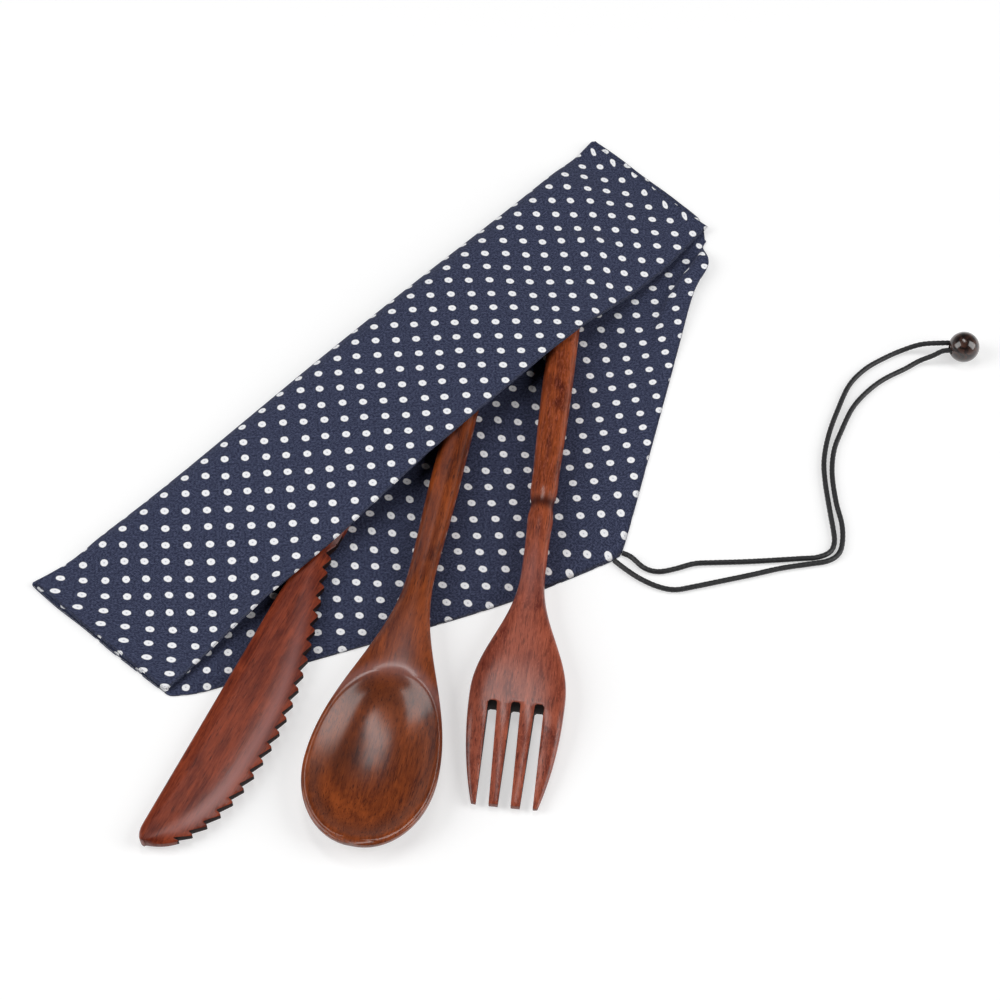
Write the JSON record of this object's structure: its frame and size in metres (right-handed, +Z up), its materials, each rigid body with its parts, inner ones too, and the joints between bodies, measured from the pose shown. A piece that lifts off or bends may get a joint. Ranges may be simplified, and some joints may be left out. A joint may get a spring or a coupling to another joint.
{
  "type": "wooden cutlery pack",
  "caption": "Wooden knife, spoon and fork with their handles in a folded, dotted cloth pouch that has a pointed flap and a corded bead tie.",
  "frame": {"origin": "on the table, under the middle of the box that holds the pouch and the three utensils without the cord and its bead", "axes": "+X along the pouch's fold towards the end where the fork's handle lies, +Y from the pouch's opening to its fold, +Z up"},
  "size_m": [0.3091, 0.173, 0.0113],
  "materials": {
    "cloth": "woven navy cotton printed with small white dots",
    "knife_wood": "red-brown wood, satin lacquer",
    "spoon_wood": "warm brown wood, gloss lacquer",
    "fork_wood": "red-brown wood, satin lacquer",
    "cord": "black waxed braid",
    "bead": "dark polished wood"
  },
  "bodies": {
    "root": {"pouch": "cloth", "knife": "knife_wood", "spoon": "spoon_wood", "fork": "fork_wood", "cord_upper": "cord", "cord_lower": "cord", "bead": "bead"}
  },
  "joints": []
}
